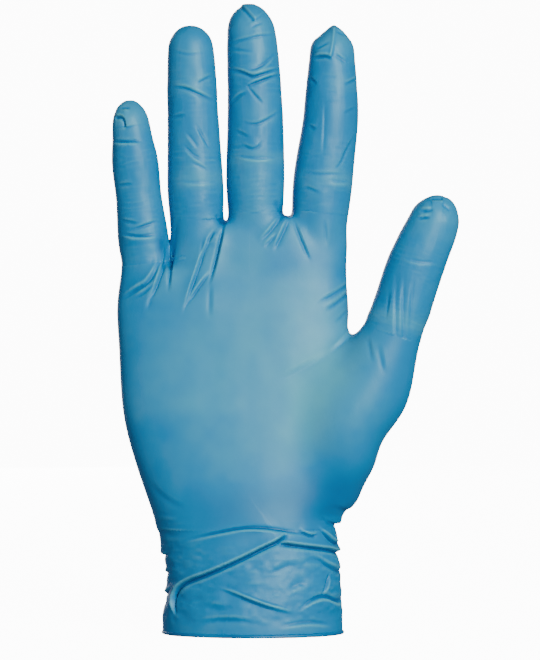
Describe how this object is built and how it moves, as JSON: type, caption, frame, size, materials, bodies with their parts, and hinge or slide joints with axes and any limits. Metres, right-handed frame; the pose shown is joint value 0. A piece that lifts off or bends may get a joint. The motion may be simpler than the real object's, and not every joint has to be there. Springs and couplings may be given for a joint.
{
  "type": "disposable glove",
  "caption": "Thin blue disposable glove in its worn shape: jointed finger and thumb sleeves, palm, creased wrist cuff and a rolled rim at the opening.",
  "frame": {"origin": "middle of the wrist opening, in the plane under the rolled rim", "axes": "+Z from the rim to the fingertips, +X towards the thumb, -Y the way the palm faces"},
  "size_m": [0.132, 0.0504, 0.2398],
  "materials": {
    "nitrile_film": "matte blue nitrile film",
    "nitrile_bead": "matte blue nitrile, rolled thick and darker"
  },
  "bodies": {
    "cuff": {"rim_bead": "nitrile_bead", "cuff_sleeve": "nitrile_film"},
    "hand": {"wrist_crease": "nitrile_film", "palm": "nitrile_film"},
    "index_base": {"index_root_crease": "nitrile_film", "index_base": "nitrile_film"},
    "index_shaft": {"index_knuckle_crease": "nitrile_film", "index_shaft": "nitrile_film"},
    "index_tip": {"index_tip_crease": "nitrile_film", "index_tip": "nitrile_film"},
    "middle_base": {"middle_root_crease": "nitrile_film", "middle_base": "nitrile_film"},
    "middle_shaft": {"middle_knuckle_crease": "nitrile_film", "middle_shaft": "nitrile_film"},
    "middle_tip": {"middle_tip_crease": "nitrile_film", "middle_tip": "nitrile_film"},
    "ring_base": {"ring_root_crease": "nitrile_film", "ring_base": "nitrile_film"},
    "ring_shaft": {"ring_knuckle_crease": "nitrile_film", "ring_shaft": "nitrile_film"},
    "ring_tip": {"ring_tip_crease": "nitrile_film", "ring_tip": "nitrile_film"},
    "little_base": {"little_root_crease": "nitrile_film", "little_base": "nitrile_film"},
    "little_shaft": {"little_knuckle_crease": "nitrile_film", "little_shaft": "nitrile_film"},
    "little_tip": {"little_tip_crease": "nitrile_film", "little_tip": "nitrile_film"},
    "thumb_base": {"thumb_root_crease": "nitrile_film", "thumb_base": "nitrile_film"},
    "thumb_tip": {"thumb_tip_crease": "nitrile_film", "thumb_tip": "nitrile_film"}
  },
  "joints": [
    {"name": "wrist_fold", "type": "hinge", "parent": "cuff", "child": "hand", "pos_m": [0, 0, 0.038], "axis": [1, 0, 0], "range_deg": [-45, 45], "stiffness_Nm_per_rad": 0.03, "deforming": ["wrist_crease"]},
    {"name": "index_root_fold", "type": "hinge", "parent": "hand", "child": "index_base", "pos_m": [0.0261, -0.00171, 0.16642], "axis": [0.9965, 0, -0.0837], "range_deg": [0, 60], "stiffness_Nm_per_rad": 0.003, "deforming": ["index_root_crease"]},
    {"name": "index_knuckle_fold", "type": "hinge", "parent": "index_base", "child": "index_shaft", "pos_m": [0.02752, -0.0023, 0.18335], "axis": [0.9965, 0, -0.0837], "range_deg": [0, 75], "stiffness_Nm_per_rad": 0.003, "deforming": ["index_knuckle_crease"]},
    {"name": "index_tip_fold", "type": "hinge", "parent": "index_shaft", "child": "index_tip", "pos_m": [0.02953, -0.00314, 0.20725], "axis": [0.9965, 0, -0.0837], "range_deg": [0, 45], "stiffness_Nm_per_rad": 0.003, "deforming": ["index_tip_crease"]},
    {"name": "middle_root_fold", "type": "hinge", "parent": "hand", "child": "middle_base", "pos_m": [0.00085, -0.00221, 0.16644], "axis": [0.9997, 0, 0.0244], "range_deg": [0, 60], "stiffness_Nm_per_rad": 0.003, "deforming": ["middle_root_crease"]},
    {"name": "middle_knuckle_fold", "type": "hinge", "parent": "middle_base", "child": "middle_shaft", "pos_m": [0.00039, -0.00287, 0.18543], "axis": [0.9997, 0, 0.0244], "range_deg": [0, 75], "stiffness_Nm_per_rad": 0.003, "deforming": ["middle_knuckle_crease"]},
    {"name": "middle_tip_fold", "type": "hinge", "parent": "middle_shaft", "child": "middle_tip", "pos_m": [-0.00027, -0.00381, 0.2124], "axis": [0.9997, 0, 0.0244], "range_deg": [0, 45], "stiffness_Nm_per_rad": 0.003, "deforming": ["middle_tip_crease"]},
    {"name": "ring_root_fold", "type": "hinge", "parent": "hand", "child": "ring_base", "pos_m": [-0.0217, -0.00171, 0.16394], "axis": [0.9995, 0, 0.0332], "range_deg": [0, 60], "stiffness_Nm_per_rad": 0.003, "deforming": ["ring_root_crease"]},
    {"name": "ring_knuckle_fold", "type": "hinge", "parent": "ring_base", "child": "ring_shaft", "pos_m": [-0.02228, -0.00232, 0.18142], "axis": [0.9995, 0, 0.0332], "range_deg": [0, 75], "stiffness_Nm_per_rad": 0.003, "deforming": ["ring_knuckle_crease"]},
    {"name": "ring_tip_fold", "type": "hinge", "parent": "ring_shaft", "child": "ring_tip", "pos_m": [-0.02312, -0.00321, 0.20689], "axis": [0.9995, 0, 0.0332], "range_deg": [0, 45], "stiffness_Nm_per_rad": 0.003, "deforming": ["ring_tip_crease"]},
    {"name": "little_root_fold", "type": "hinge", "parent": "hand", "child": "little_base", "pos_m": [-0.04143, -0.00071, 0.14691], "axis": [0.9943, 0, 0.1063], "range_deg": [0, 60], "stiffness_Nm_per_rad": 0.003, "deforming": ["little_root_crease"]},
    {"name": "little_knuckle_fold", "type": "hinge", "parent": "little_base", "child": "little_shaft", "pos_m": [-0.04308, -0.00125, 0.16231], "axis": [0.9943, 0, 0.1063], "range_deg": [0, 75], "stiffness_Nm_per_rad": 0.003, "deforming": ["little_knuckle_crease"]},
    {"name": "little_tip_fold", "type": "hinge", "parent": "little_shaft", "child": "little_tip", "pos_m": [-0.04525, -0.00197, 0.18268], "axis": [0.9943, 0, 0.1063], "range_deg": [0, 45], "stiffness_Nm_per_rad": 0.003, "deforming": ["little_tip_crease"]},
    {"name": "thumb_root_fold", "type": "hinge", "parent": "hand", "child": "thumb_base", "pos_m": [0.05367, -0.0109, 0.12019], "axis": [0.8182, -0.4997, -0.2842], "range_deg": [0, 35], "stiffness_Nm_per_rad": 0.003, "deforming": ["thumb_root_crease"]},
    {"name": "thumb_tip_fold", "type": "hinge", "parent": "thumb_base", "child": "thumb_tip", "pos_m": [0.06047, -0.01167, 0.1411], "axis": [0.8182, -0.4997, -0.2842], "range_deg": [0, 45], "stiffness_Nm_per_rad": 0.003, "deforming": ["thumb_tip_crease"]}
  ],
  "couplings": [
    {"joint": "index_tip_fold", "follows": "index_knuckle_fold", "ratio": 0.6},
    {"joint": "middle_tip_fold", "follows": "middle_knuckle_fold", "ratio": 0.6},
    {"joint": "ring_tip_fold", "follows": "ring_knuckle_fold", "ratio": 0.6},
    {"joint": "little_tip_fold", "follows": "little_knuckle_fold", "ratio": 0.6}
  ]
}
